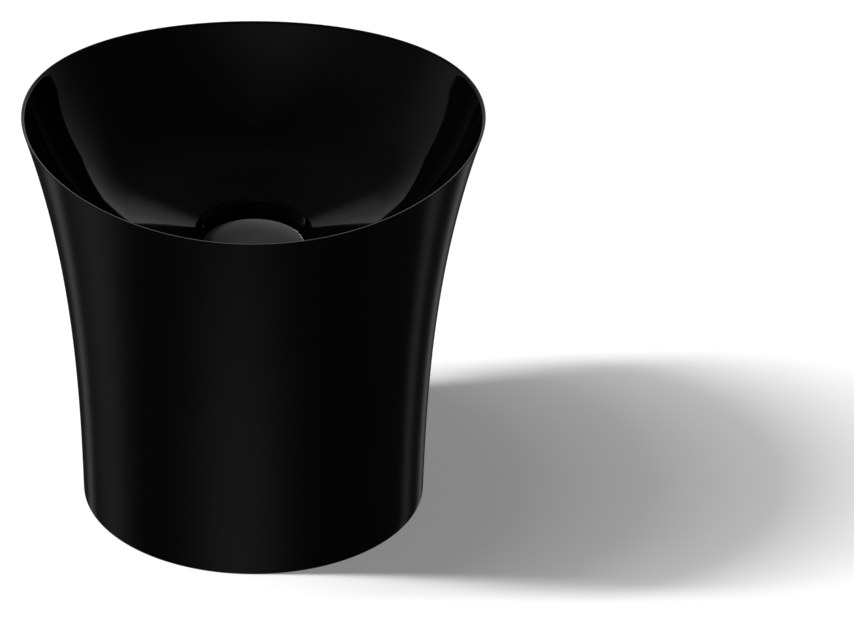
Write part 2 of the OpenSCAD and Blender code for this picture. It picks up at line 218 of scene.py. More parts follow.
# %% [markdown]
# ## The rim
#
# The bowl's sheet is turned over the top of the apron and pressed down on it. Its outer
# corner stays crisp, and only the enamel rounds it. Inwards the sheet rolls over a much
# larger radius into the wall of the bowl. That roll is what draws the bright line along
# the front of the rim. The joint between the two sheets lies just under the corner. The
# last narrow strip of each sheet follows the same slope there, so that both have the same
# normal and light runs over the joint without a break.

# %% Outer corner and roll
CORNER, ROLL = 0.35, 3.0
CORNER_STEPS, ROLL_STEPS = 7, 16
STRIP = 0.08
rim_slope = np.pi / 2 - np.arctan(outer_lean(rim_z))
corner_x = rim_outer - CORNER * (1 + np.cos(rim_slope)) / np.sin(rim_slope)
corner_z = rim_z - CORNER
joint_z = corner_z - CORNER * np.cos(rim_slope) - STRIP


def rim_corner():
    """Small circle's arc from level with the outside face to straight up."""
    start = rim_slope - np.pi / 2
    turn = start + (np.pi / 2 - start) * np.linspace(0, 1, CORNER_STEPS)[:, None]
    return np.stack([corner_x + CORNER * np.cos(turn), corner_z + CORNER * np.sin(turn)], axis=1)


def rim_roll(end_slope):
    """Large circle's arc from straight up to the slope at the top of the wall."""
    turn = np.pi / 2 + end_slope * np.linspace(0, 1, ROLL_STEPS)[1:, None]
    return np.stack([corner_x + ROLL * np.cos(turn), rim_z - ROLL + ROLL * np.sin(turn)], axis=1)


corner = rim_corner()
print("corner", CORNER, "roll", ROLL, "joint", (rim_z - joint_z).max().round(2), "below the rim")

# %% [markdown]
# ## Apron
#
# The apron is one closed shell: up the outside face, over its level top edge, down the
# inside face and round the foot edge. Its foot edge is rounded by the enamel, because
# glass draws back from a sharp corner when it is fired.

# %% Apron shell
FACE_ROWS, FOOT_ROWS = 56, 13
foot_round = sheet / 2
foot_mid = outer_radius(0) - sheet_across / 2


def foot_arc(start, stop, steps):
    """Half circle under the sheet's lower edge, from one angle to the other."""
    turn = np.radians(np.linspace(start, stop, steps))[:, None]
    radius = foot_mid + sheet_across / 2 * np.cos(turn) + 0 * azimuth
    return radius, foot_round + foot_round * np.sin(turn) + 0 * azimuth


rise = np.linspace(0, 1, FACE_ROWS)[1:, None]
strip_z = joint_z - STRIP
face_z = np.concatenate([foot_round + rise * (strip_z - foot_round), joint_z[None]])
inside_z = foot_round + rise[::-1] * (joint_z - foot_round)
low_arc = foot_arc(-180, 0, FOOT_ROWS)
apron_radius = np.concatenate([low_arc[0], outer_radius(face_z), seam_radius(inside_z)])
apron_height = np.concatenate([low_arc[1], face_z, inside_z])
apron_points = turned_points(apron_radius, apron_height, azimuth)
apron_shell = piece_from_arrays(
    "apron_shell",
    apron_points.reshape(-1, 3),
    grid_faces(len(apron_radius), COLUMNS, True),
    NO_TRIANGLES,
)
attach(apron_shell, "basin")
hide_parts("apron")

# %% [markdown]
# ## Bowl
#
# A press tool for a bowl is cut as a chain of arcs that touch without a corner, so that
# the sheet flows over it without tearing. An arc is described by its centre, its radius
# and the slope of the sheet at both ends: a long gentle wall, a tighter sweep, and a
# gently sloping floor that drains to the well. The underside is the same chain with every
# radius larger by the thickness of the sheet, and above the wall it has a brow, a short
# tight arc that brings it against the inside of the apron.

# %% Chain of arcs
brow_radius, brow_slope = 35.0, 62.0
wall_radius, wall_slope = 184.0, 44.5
sweep_radius, floor_slope = 107.0, 15.0
shoulder_radius, well_depth, well_fillet = 3.0, 22.9, 5.0
well_radius = 48.5
waste_hole = 22.5
# rows on the sweep, the floor, the shoulder, the upright wall and the fillet
BOWL_ROWS = np.array([30, 8, 22, 4, 10])
WELL_FLOOR_ROWS = 5
UNDERSIDE_FINENESS = 0.5
UPRIGHT, LEVEL = 90, 0


def on_arc(centre, radius, slope):
    """Point of a hollow arc where the sheet has this slope in degrees."""
    turn = np.radians(slope)
    return np.stack([centre[0] + radius * np.sin(turn), centre[1] - radius * np.cos(turn)])


def centre_from(point, radius, slope):
    """Centre of the hollow arc that passes through a point with this slope."""
    turn = np.radians(slope)
    return np.array([point[0] - radius * np.sin(turn), point[1] + radius * np.cos(turn)])


land_point = np.array([outer_radius(land_z) - 2 * sheet_across, land_z])
brow_centre = centre_from(land_point, brow_radius, land_slope)
wall_centre = centre_from(on_arc(brow_centre, brow_radius, brow_slope), wall_radius, brow_slope)
sweep_centre = centre_from(on_arc(wall_centre, wall_radius, wall_slope), sweep_radius, wall_slope)
floor_edge = on_arc(sweep_centre, sweep_radius, floor_slope)
floor_turn = math.radians(floor_slope)
shoulder_x = well_radius + shoulder_radius
lip_x = shoulder_x - shoulder_radius * math.sin(floor_turn)
lip_z = floor_edge[1] - (floor_edge[0] - lip_x) * math.tan(floor_turn)
shoulder_centre = np.array([shoulder_x, lip_z - shoulder_radius * math.cos(floor_turn)])
well_z = shoulder_centre[1] - well_depth
fillet_centre = np.array([well_radius - well_fillet, well_z + well_fillet])
print("well floor at", round(well_z, 3), "lip at", round(lip_x, 2), round(lip_z, 2))


def bowl_profile(offset, fine, top_slope, arcs):
    """Profile down to the waste hole from where the sweep has this slope.

    It lies offset below the upper face. arcs are the arcs above that point.
    """
    steps = (BOWL_ROWS * fine).astype(int)

    def arc(centre, radius, start, stop, count):
        return on_arc(centre, radius, np.linspace(start, stop, count + 1)[:-1])

    chain = [arc(centre, radius + offset, start, stop, count)
             for centre, radius, start, stop, count in arcs]
    chain.append(arc(sweep_centre, sweep_radius + offset, top_slope, floor_slope, steps[0]))
    drop = offset * np.array([math.sin(floor_turn), -math.cos(floor_turn)])
    share = np.linspace(0, 1, steps[1] + 1)[:-1]
    start, stop = floor_edge + drop, np.array([lip_x, lip_z]) + drop
    chain.append(start[:, None] + (stop - start)[:, None] * share)
    chain.append(arc(shoulder_centre, offset - shoulder_radius, floor_slope, UPRIGHT, steps[2]))
    share = np.linspace(0, 1, steps[3] + 1)[:-1]
    chain.append(np.stack([
        np.full(len(share), well_radius + offset),
        shoulder_centre[1] + (fillet_centre[1] - shoulder_centre[1]) * share,
    ]))
    chain.append(arc(fillet_centre, well_fillet + offset, UPRIGHT, LEVEL, steps[4]))
    share = np.linspace(0, 1, WELL_FLOOR_ROWS)
    chain.append(np.stack([
        fillet_centre[0] + (waste_hole - fillet_centre[0]) * share,
        np.full(len(share), well_z - offset),
    ]))
    return np.concatenate(chain, axis=1).T


# %% [markdown]
# ## From a round wall to a saddle
#
# The floor of the bowl is round, and the same all the way round, but the rim is higher at
# the sides. The press stretches the upper wall to meet it. Each column of the wall keeps
# its plain profile, which ends above the wall in one more arc of a large radius. It is
# lifted by whatever its own rim needs, by nothing at the sweep and by all of it at the rim,
# along a curve that starts gently. Its slope at the top then sets where the roll ends, and
# the roll sets where the wall ends, so the two are found together in a few rounds.

# %% Lifted wall
TOP_RADIUS = 300.0
LIFT_START, LIFT_SOFTNESS = 130.0, 0.25
LIFT_ROUNDS, NUDGE = 12, 0.01
WALL_ROWS = 56
brow_point = on_arc(wall_centre, wall_radius, brow_slope)
top_centre = centre_from(brow_point, TOP_RADIUS, brow_slope)
wall_point = on_arc(sweep_centre, sweep_radius, wall_slope)


def plain_wall(radius):
    """Height and slope of the wall's arcs at a radius: a hollow arc solved for its height."""
    choices = [radius >= brow_point[0], radius >= wall_point[0]]
    centre_x = np.select(choices, [top_centre[0], wall_centre[0]], sweep_centre[0])
    centre_z = np.select(choices, [top_centre[1], wall_centre[1]], sweep_centre[1])
    bend = np.select(choices, [TOP_RADIUS, wall_radius], sweep_radius)
    sine = (radius - centre_x) / bend
    return centre_z - bend * np.sqrt(1 - sine ** 2), sine / np.sqrt(1 - sine ** 2)


def lift_share(share):
    """Share of the lift: a hyperbola from nought, level at first and nearly straight later."""
    reach = math.sqrt(1 + LIFT_SOFTNESS ** 2) - LIFT_SOFTNESS
    return (np.sqrt(share ** 2 + LIFT_SOFTNESS ** 2) - LIFT_SOFTNESS) / reach


end_slope = np.full_like(azimuth, math.radians(brow_slope))
for _ in range(LIFT_ROUNDS):
    wall_top = rim_roll(end_slope)[-1]
    plain_z, plain_slope = plain_wall(wall_top[0])
    lift = wall_top[1] - plain_z
    end_gain = (lift_share(1.0) - lift_share(1 - NUDGE)) / NUDGE / (wall_top[0] - LIFT_START)
    end_slope = np.arctan(plain_slope + lift * end_gain)
share = np.linspace(1, 0, WALL_ROWS)[1:, None]
wall_r = LIFT_START + (wall_top[0] - LIFT_START) * share
wall_z = plain_wall(wall_r)[0] + lift * lift_share(share)
top_slope = np.degrees(end_slope)
print("lift", lift.min().round(2), "to", lift.max().round(2))
print("top slope", top_slope.min().round(1), "to", top_slope.max().round(1))

# %% Bowl shell
LAND_ROWS, BROW_ROWS, WALL_UNDER_ROWS = 10, 5, 11
SEAM_GAP = 0.02
sweep_top = math.degrees(math.asin((LIFT_START - sweep_centre[0]) / sweep_radius))
upper = bowl_profile(0.0, 1.0, sweep_top, [])[1:, :, None] + 0 * azimuth
under_arcs = [
    (brow_centre, brow_radius, land_slope, brow_slope, BROW_ROWS),
    (wall_centre, wall_radius, brow_slope, wall_slope, WALL_UNDER_ROWS),
]
lower = bowl_profile(sheet, UNDERSIDE_FINENESS, wall_slope, under_arcs)
lower = lower[::-1, :, None] + 0 * azimuth
land_up = land_z + np.linspace(0, 1, LAND_ROWS)[1:, None] * (joint_z - land_z)
roll = rim_roll(end_slope)
bowl_radius = np.concatenate([
    outer_radius(joint_z)[None], corner[:, 0], roll[:, 0], wall_r,
    upper[:, 0], lower[:, 0], seam_radius(land_up) - SEAM_GAP,
])
bowl_height = np.concatenate([
    joint_z[None], corner[:, 1], roll[:, 1], wall_z, upper[:, 1], lower[:, 1], land_up,
])
bowl_points = turned_points(bowl_radius, bowl_height, azimuth)
bowl_shell = piece_from_arrays(
    "bowl_shell",
    bowl_points.reshape(-1, 3),
    grid_faces(len(bowl_radius), COLUMNS, True),
    NO_TRIANGLES,
)
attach(bowl_shell, "basin")
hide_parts("bowl")

# %% [markdown]
# ## Waste cover
#
# The cover is a shallow dome with a short turned-down edge. A dome of this kind is part
# of a sphere, and the edge is joined to it by a small round. Its middle is a single point,
# closed with a fan of triangles, because a ring of radius nothing would leave faces that
# have no area.

# %% Domed cover
cover_radius = (cover_high[0] - cover_low[0]) / 2
cover_z = cover_low[2]
cover_edge, cover_rise, cover_sheet, cover_round = 4.0, 6.0, 1.6, 2.2
TOP_POINTS, ROUND_POINTS, LIP_POINTS, UNDER_POINTS = 41, 13, 5, 25
dome_radius = (cover_radius ** 2 + cover_rise ** 2) / (2 * cover_rise)
dome_centre = cover_z + cover_edge + cover_rise - dome_radius


def dome_height(radius, offset):
    """Height of a sphere's surface, offset inwards, at a distance from its axis."""
    return dome_centre + np.sqrt((dome_radius - offset) ** 2 - radius ** 2)


def cover_profile():
    """Profile from the middle of the top, round the edge, to the middle of the underside."""
    round_x = cover_radius - cover_round
    round_above = math.sqrt((dome_radius - cover_round) ** 2 - round_x ** 2)
    centre = np.array([round_x, dome_centre + round_above])
    start = math.atan2(round_above, round_x)
    top_edge = centre[0] + cover_round * math.cos(start)
    top = np.linspace(0, top_edge, TOP_POINTS)[1:-1]
    turn = np.linspace(start, 0, ROUND_POINTS)
    low = np.radians(np.linspace(0, -90, LIP_POINTS))
    lip = cover_sheet / 2
    inner = cover_radius - cover_sheet
    under = np.linspace(inner, 0, UNDER_POINTS)[:-1]
    return np.concatenate([
        np.stack([top, dome_height(top, 0)]),
        np.stack([centre[0] + cover_round * np.cos(turn), centre[1] + cover_round * np.sin(turn)]),
        np.stack([cover_radius - lip + lip * np.cos(low), cover_z + lip + lip * np.sin(low)]),
        np.stack([cover_radius - lip + lip * np.sin(low), cover_z + lip - lip * np.cos(low)])[:, 1:],
        np.stack([under, dome_height(under, cover_sheet)]),
    ], axis=1).T


cover_rows = cover_profile()
ring_points = turned_points(cover_rows[:, :1], cover_rows[:, 1:], azimuth).reshape(-1, 3)
poles = np.array([[0, 0, dome_height(0, 0)], [0, 0, dome_height(0, cover_sheet)]])
last_ring = (len(cover_rows) - 1) * COLUMNS
domed_cover = piece_from_arrays(
    "domed_cover",
    np.concatenate([ring_points, poles]),
    grid_faces(len(cover_rows), COLUMNS, False),
    np.concatenate([
        fan_faces(len(ring_points), 0, COLUMNS, True),
        fan_faces(len(ring_points) + 1, last_ring, COLUMNS, False),
    ]),
)
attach(domed_cover, "cover")
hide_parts("waste_cover")

# %% [markdown]
# ## Return spring
#
# The push-button holds the cover up against a coil spring. A spring is a circle carried
# along a helix, and its two end turns lie flat so that it stands square.

# %% Coil spring
spring_low, spring_high = (np.array(corner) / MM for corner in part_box("click_spring"))
wire = 0.5
coil_radius = (spring_high[0] - spring_low[0]) / 2 - wire
SPRING_TURNS, WIRE_SIDES, TURN_STEPS, END_EASE = 6.0, 12, 48, 0.8


def coil(steps):
    """Centre line: the height eases from flat to rising and back over the end turns."""
    share = np.linspace(0, 1, steps)
    eased = share - np.sin(2 * np.pi * share) / (2 * np.pi) * END_EASE
    turn = 2 * np.pi * SPRING_TURNS * share
    height = spring_low[2] + wire + eased * (spring_high[2] - spring_low[2] - 2 * wire)
    return turn, height


turn, height = coil(int(SPRING_TURNS * TURN_STEPS))
side = np.linspace(0, 2 * np.pi, WIRE_SIDES, endpoint=False)[None, :]
wire_radius = coil_radius + wire * np.cos(side)
wire_points = np.stack([
    wire_radius * np.cos(turn[:, None]),
    wire_radius * np.sin(turn[:, None]),
    height[:, None] + wire * np.sin(side),
], axis=-1)
spring_ends = np.stack([wire_points[0].mean(axis=0), wire_points[-1].mean(axis=0)])
spring_count = wire_points.shape[0] * WIRE_SIDES
return_spring = piece_from_arrays(
    "return_spring",
    np.concatenate([wire_points.reshape(-1, 3), spring_ends]),
    grid_faces(len(turn), WIRE_SIDES, False),
    np.concatenate([
        fan_faces(spring_count, 0, WIRE_SIDES, True),
        fan_faces(spring_count + 1, spring_count - WIRE_SIDES, WIRE_SIDES, False),
    ]),
)
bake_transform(return_spring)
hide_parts("click_spring")

# %% [markdown]
# ## Building blocks for finishes
#
# A finish is a small network of nodes. What several finishes share, such as the ripple of
# a glaze or the marks of a lathe, is put in a group with named inputs, so that each
# material sets its own sizes. All patterns read the object's own coordinates in metres,
# so a grain that is half a millimetre wide is half a millimetre on every part.

# %% Node helpers
def place(tree, kind, feeds=None, **settings):
    """Node of this kind with its settings; feeds gives a value or a link to each input."""
    node = tree.nodes.new(kind)
    for label, value in settings.items():
        setattr(node, label, value)
    for label, value in (feeds or {}).items():
        if isinstance(value, bpy.types.NodeSocket):
            tree.links.new(value, node.inputs[label])
        else:
            node.inputs[label].default_value = value
    return node


def calc(tree, operation, first, second=0.0, third=0.0):
    """Output of a Math node."""
    feeds = {0: first, 1: second, 2: third}
    return place(tree, "ShaderNodeMath", feeds, operation=operation).outputs[0]


def span(tree, value, low, high, to_low, to_high, smooth=False):
    """Value moved from one range to another and held at its ends."""
    feeds = {"Value": value, "From Min": low, "From Max": high, "To Min": to_low, "To Max": to_high}
    kind = "SMOOTHSTEP" if smooth else "LINEAR"
    return place(tree, "ShaderNodeMapRange", feeds, interpolation_type=kind).outputs[0]


def noise(tree, position, scale, detail=2.0, roughness=0.5):
    """Smooth cloudy pattern between nought and one."""
    feeds = {"Vector": position, "Scale": scale, "Detail": detail, "Roughness": roughness}
    return place(tree, "ShaderNodeTexNoise", feeds).outputs[0]


def start_group(name, inputs, outputs):
    """Empty shader group with named number and vector sockets."""
    group = bpy.data.node_groups.new(name, "ShaderNodeTree")
    for label, value in inputs.items():
        kind = "NodeSocketVector" if value is None else "NodeSocketFloat"
        socket = group.interface.new_socket(label, in_out="INPUT", socket_type=kind)
        if value is not None:
            socket.default_value = value
    for label in outputs:
        group.interface.new_socket(label, in_out="OUTPUT", socket_type="NodeSocketFloat")
    entry = group.nodes.new("NodeGroupInput")
    ending = group.nodes.new("NodeGroupOutput")
    return group, entry.outputs, ending.inputs


def use_group(tree, group, feeds):
    """A placed copy of a group; its outputs are returned."""
    return place(tree, "ShaderNodeGroup", feeds, node_tree=group).outputs


# %% [markdown]
# ## Shared surface effects
#
# Fired glass flows a little before it sets, so a gloss enamel has a long low swell and a
# finer skin like orange peel. Lathe work leaves rings round its axis. Rubber and moulded
# plastic copy the texture of their mould, and anything that is handled gets patches where
# it is a little duller.

# %% Groups for glaze, lathe marks, grain and handling
glaze, glaze_in, glaze_out = start_group(
    "fired glaze",
    {"Position": None, "Swell per metre": 38.0, "Peel per metre": 420.0, "Peel share": 0.2},
    ["Height", "Haze"],
)
swell = noise(glaze, glaze_in["Position"], glaze_in["Swell per metre"], 1.0)
peel = noise(glaze, glaze_in["Position"], glaze_in["Peel per metre"], 2.0)
glaze.links.new(
    calc(glaze, "MULTIPLY_ADD", peel, glaze_in["Peel share"], swell), glaze_out["Height"]
)
haze = noise(glaze, glaze_in["Position"], 11.0, 4.0, 0.6)
glaze.links.new(span(glaze, haze, 0.35, 0.7, 0.0, 1.0, True), glaze_out["Haze"])

lathe, lathe_in, lathe_out = start_group(
    "lathe marks",
    {"Position": None, "Rings per metre": 4000.0},
    ["Height", "Streak"],
)
split = place(lathe, "ShaderNodeSeparateXYZ", {0: lathe_in["Position"]}).outputs
from_axis = calc(lathe, "SQRT", calc(
    lathe, "MULTIPLY_ADD", split[0], split[0], calc(lathe, "MULTIPLY", split[1], split[1])
))
run = calc(lathe, "ADD", from_axis, split[2])
rings = place(lathe, "ShaderNodeTexNoise", {
    "W": calc(lathe, "MULTIPLY", run, lathe_in["Rings per metre"]), "Scale": 1.0, "Detail": 2.0,
}, noise_dimensions="1D").outputs[0]
lathe.links.new(rings, lathe_out["Height"])
lathe.links.new(span(lathe, rings, 0.3, 0.7, 0.0, 1.0), lathe_out["Streak"])

grain, grain_in, grain_out = start_group(
    "moulded grain",
    {"Position": None, "Grains per metre": 2500.0, "Patches per metre": 60.0},
    ["Height", "Tone"],
)
fine = noise(grain, grain_in["Position"], grain_in["Grains per metre"], 3.0, 0.6)
patch = noise(grain, grain_in["Position"], grain_in["Patches per metre"], 3.0)
grain.links.new(fine, grain_out["Height"])
PATCH_SHARE = 0.7
fine_part = calc(grain, "MULTIPLY", fine, 1 - PATCH_SHARE)
grain.links.new(calc(grain, "MULTIPLY_ADD", patch, PATCH_SHARE, fine_part), grain_out["Tone"])

handling, handling_in, handling_out = start_group(
    "handling",
    {"Position": None, "Patches per metre": 70.0, "Clean": 0.1, "Touched": 0.25},
    ["Roughness", "Mask"],
)
touched = noise(handling, handling_in["Position"], handling_in["Patches per metre"], 5.0, 0.6)
mask = span(handling, touched, 0.42, 0.68, 0.0, 1.0, True)
handling.links.new(mask, handling_out["Mask"])
handling.links.new(
    place(handling, "ShaderNodeMapRange", {
        "Value": mask, "To Min": handling_in["Clean"], "To Max": handling_in["Touched"],
    }).outputs[0],
    handling_out["Roughness"],
)
print("groups", [group.name for group in bpy.data.node_groups])

# %% Starting and ending a material
def start_material(name, **constants):
    """Material with a Principled shader; the constants go on the shader's own sockets."""
    material = bpy.data.materials.new(name)
    material.use_nodes = True
    tree = material.node_tree
    tree.nodes.clear()
    shader = place(tree, "ShaderNodeBsdfPrincipled")
    for label, value in constants.items():
        shader.inputs[label.replace("_", " ")].default_value = value
    ending = place(tree, "ShaderNodeOutputMaterial")
    tree.links.new(shader.outputs[0], ending.inputs["Surface"])
    position = place(tree, "ShaderNodeTexCoord").outputs["Object"]
    return material, tree, shader.inputs, position


def blend_colours(tree, share, first, second):
    """Colour between two colours. A Mix node's colour sockets are 6 and 7, and its result 2."""
    feeds = {0: share, 6: (*first, 1.0), 7: (*second, 1.0)}
    return place(tree, "ShaderNodeMix", feeds, data_type="RGBA").outputs[2]


def emboss(tree, sockets, height, depth):
    """Bump whose height pattern is depth metres deep."""
    bump = place(tree, "ShaderNodeBump", {"Strength": 1.0, "Distance": depth, "Height": height})
    tree.links.new(bump.outputs[0], sockets["Normal"])


def dress(material, *objects):
    """Puts one material on each object, in place of what it had."""
    for thing in objects:
        thing.data.materials.clear()
        thing.data.materials.append(material)
    print(material.name, [thing.name for thing in objects])


# %% [markdown]
# ## Black gloss enamel
#
# The enamel is a layer of black glass, so it has almost no colour of its own and all that
# shows is what it reflects. Its gloss is set by the index of glass, 1.5, and a low
# roughness. The swell and the peel are only a few thousandths of a millimetre high.

# %% Enamel
enamel, tree, sockets, position = start_material("black gloss enamel", IOR=1.5)
marks = use_group(tree, glaze, {"Position": position})
tree.links.new(
    blend_colours(tree, marks["Haze"], (0.0004, 0.0004, 0.0004), (0.0008, 0.0008, 0.0008)),
    sockets["Base Color"],
)
tree.links.new(span(tree, marks["Haze"], 0.0, 1.0, 0.035, 0.06), sockets["Roughness"])
emboss(tree, sockets, marks["Height"], 8e-6)
dress(enamel, apron_shell, bowl_shell)

# %% [markdown]
# ## Satin enamel on the waste cover
#
# The cover is pressed and enamelled on its own, in a softer black that hides finger
# marks. A matting agent scatters light, most of all where the surface is seen at a low
# angle, which is what a sheen layer does.

# %% Satin cover
satin, tree, sockets, position = start_material(
    "black satin enamel", IOR=1.5, Specular_IOR_Level=0.25, Sheen_Weight=1.0,
    Sheen_Roughness=0.37,
)
marks = use_group(tree, glaze, {"Position": position, "Peel per metre": 900.0, "Peel share": 0.6})
tree.links.new(
    blend_colours(tree, marks["Haze"], (0.001, 0.001, 0.001), (0.002, 0.002, 0.002)),
    sockets["Base Color"],
)
tree.links.new(span(tree, marks["Haze"], 0.0, 1.0, 0.3, 0.36), sockets["Roughness"])
emboss(tree, sockets, marks["Height"], 8e-6)
dress(satin, domed_cover)

# %% [markdown]
# ## Chrome, brass, zinc and spring steel
#
# The trap and the waste are chromed brass: a mirror with faint patches where hands have
# been. The nuts and the plunger are bare brass with the rings of the lathe on them. Zinc
# from a hot bath freezes in flat crystals, each of its own grey. A Voronoi pattern gives
# one random number for each cell, which is how such crystals look. Drawn wire is finely
# scored along its length.

# %% Metals
chrome, tree, sockets, position = start_material("polished chrome plate", Metallic=1.0)
marks = use_group(tree, handling, {"Position": position, "Clean": 0.06, "Touched": 0.16})
tree.links.new(
    blend_colours(tree, marks["Mask"], (0.66, 0.67, 0.69), (0.60, 0.61, 0.625)),
    sockets["Base Color"],
)
tree.links.new(marks["Roughness"], sockets["Roughness"])
turned = use_group(tree, lathe, {"Position": position, "Rings per metre": 2600.0})
emboss(tree, sockets, turned["Height"], 4e-7)
dress(chrome, *(nodes[label] for label in (
    "waste_body", "inlet_nut", "dip_tube", "body_nut", "trap_body", "trap_cup",
    "outlet_nut", "outlet_pipe",
)))

brass, tree, sockets, position = start_material("turned brass", Metallic=1.0)
turned = use_group(tree, lathe, {"Position": position, "Rings per metre": 5200.0})
worn = use_group(tree, handling, {"Position": position, "Patches per metre": 140.0})
tree.links.new(
    blend_colours(tree, worn["Mask"], (0.74, 0.55, 0.26), (0.58, 0.42, 0.20)),
    sockets["Base Color"],
)
tree.links.new(span(tree, turned["Streak"], 0.0, 1.0, 0.22, 0.36), sockets["Roughness"])
emboss(tree, sockets, turned["Height"], 6e-6)
dress(brass, *(nodes[label] for label in ("cover_hub", "plunger", "bridge_nut", "backnut")))

zinc, tree, sockets, position = start_material("hot-dip zinc", Metallic=1.0)
cells = place(tree, "ShaderNodeTexVoronoi", {"Vector": position, "Scale": 150.0}).outputs["Color"]
crystal = place(tree, "ShaderNodeSeparateColor", {0: cells}).outputs[0]
tree.links.new(
    blend_colours(tree, crystal, (0.50, 0.51, 0.53), (0.68, 0.69, 0.71)), sockets["Base Color"]
)
tree.links.new(span(tree, crystal, 0.0, 1.0, 0.34, 0.56), sockets["Roughness"])
emboss(tree, sockets, noise(tree, position, 900.0, 3.0), 1.2e-5)
dress(zinc, nodes["foot_ring"], nodes["fixing_nuts"])

wire_steel, tree, sockets, position = start_material("drawn spring wire", Metallic=1.0)
drawn = use_group(tree, lathe, {"Position": position, "Rings per metre": 30000.0})
tree.links.new(
    blend_colours(tree, drawn["Streak"], (0.44, 0.45, 0.47), (0.62, 0.63, 0.65)),
    sockets["Base Color"],
)
tree.links.new(span(tree, drawn["Streak"], 0.0, 1.0, 0.2, 0.34), sockets["Roughness"])
emboss(tree, sockets, drawn["Height"], 2e-6)
dress(wire_steel, return_spring)

# %% [markdown]
# ## Rubber, bitumen and plastic
#
# Seals are moulded rubber with a dry surface. The pads under the bowl are bitumen felt,
# which is coarser and stops the steel from ringing. The cartridge is moulded in pale
# acetal, a plastic with a soft shine.

# %% Soft parts and plastic
rubber, tree, sockets, position = start_material("moulded rubber", IOR=1.52, Sheen_Weight=0.08)
skin = use_group(tree, grain, {"Position": position})
tree.links.new(
    blend_colours(tree, skin["Tone"], (0.017, 0.017, 0.018), (0.036, 0.036, 0.037)),
    sockets["Base Color"],
)
tree.links.new(span(tree, skin["Tone"], 0.3, 0.7, 0.55, 0.74), sockets["Roughness"])
emboss(tree, sockets, skin["Height"], 3e-5)
dress(rubber, *(nodes[label] for label in (
    "base_seal", "cover_seal", "flange_gasket", "tail_gasket", "inlet_washer",
    "body_washer", "cup_gasket", "outlet_washer",
)))

bitumen, tree, sockets, position = start_material("bitumen felt", IOR=1.5)
skin = use_group(tree, grain, {"Position": position, "Grains per metre": 1100.0})
tree.links.new(
    blend_colours(tree, skin["Tone"], (0.020, 0.018, 0.017), (0.062, 0.057, 0.052)),
    sockets["Base Color"],
)
tree.links.new(span(tree, skin["Height"], 0.3, 0.7, 0.66, 0.9), sockets["Roughness"])
emboss(tree, sockets, skin["Height"], 1.6e-4)
dress(bitumen, nodes["sound_pads"])

acetal, tree, sockets, position = start_material("pale acetal", IOR=1.48)
skin = use_group(tree, grain, {"Position": position, "Grains per metre": 4200.0})
tree.links.new(
    blend_colours(tree, skin["Tone"], (0.70, 0.70, 0.67), (0.78, 0.78, 0.75)),
    sockets["Base Color"],
)
tree.links.new(span(tree, skin["Tone"], 0.3, 0.7, 0.34, 0.46), sockets["Roughness"])
emboss(tree, sockets, skin["Height"], 1e-5)
dress(acetal, *(nodes[label] for label in (
    "click_cam", "cartridge_housing", "cartridge_cap", "slip_washer",
)))

# %% [markdown]
# ## Floor
#
# The basin stands on a plain pale floor. The floor is open under the foot, as a worktop is
# where a waste pipe goes through it, and its lower side is clear, so the pipework can be
# looked at from below. A little light of its own keeps the shadow soft and grey. Glossy
# surfaces don't see the floor: black glass would otherwise reflect it as a pale haze.

# %% Floor
FLOOR_REACH, FLOOR_HOLE, FLOOR_RINGS = 60.0, 0.100, 24
FLOOR_ALBEDO, FLOOR_GLOW = 0.8, 0.2
floor_rings = np.geomspace(FLOOR_HOLE, FLOOR_REACH, FLOOR_RINGS)[:, None] / MM
floor_points = turned_points(floor_rings, np.zeros((FLOOR_RINGS, 1)), azimuth).reshape(-1, 3)
floor = piece_from_arrays(
    "floor", floor_points, grid_faces(FLOOR_RINGS, COLUMNS, False)[:, ::-1], NO_TRIANGLES
)
pale = bpy.data.materials.new("pale floor")
pale.use_nodes = True
tree = pale.node_tree
tree.nodes.clear()
white = (FLOOR_ALBEDO, FLOOR_ALBEDO, FLOOR_ALBEDO, 1.0)
matt = place(tree, "ShaderNodeBsdfDiffuse", {"Color": white}).outputs[0]
glow = place(tree, "ShaderNodeEmission", {"Strength": FLOOR_GLOW}).outputs[0]
both = place(tree, "ShaderNodeAddShader", {0: matt, 1: glow}).outputs[0]
clear = place(tree, "ShaderNodeBsdfTransparent").outputs[0]
underside = place(tree, "ShaderNodeNewGeometry").outputs["Backfacing"]
surface = place(tree, "ShaderNodeMixShader", {0: underside, 1: both, 2: clear}).outputs[0]
place(tree, "ShaderNodeOutputMaterial", {"Surface": surface})
dress(pale, floor)
floor.visible_glossy = False

# %% [markdown]
# ## Studio
#
# Black gloss is lit by what it reflects, so the studio is a dark room with a few soft
# upright strips of light, each a smooth hump round a compass direction that fades with
# height. Only glossy rays see the room. A strip low at the back, just where a level
# surface reflects it to the front, is what lights the edge of the rim. The shadow comes
# from three tall narrow banks of lights, one above the other on the left, which shiny
# surfaces don't see, so they leave no hard spot on the glass.

# %% Room of soft strips
def direction_to(bearing):
    """Level unit vector; bearing 0 is towards the front, -Y, and 90 is towards +X."""
    turn = math.radians(bearing)
    return (math.sin(turn), -math.cos(turn), 0.0)


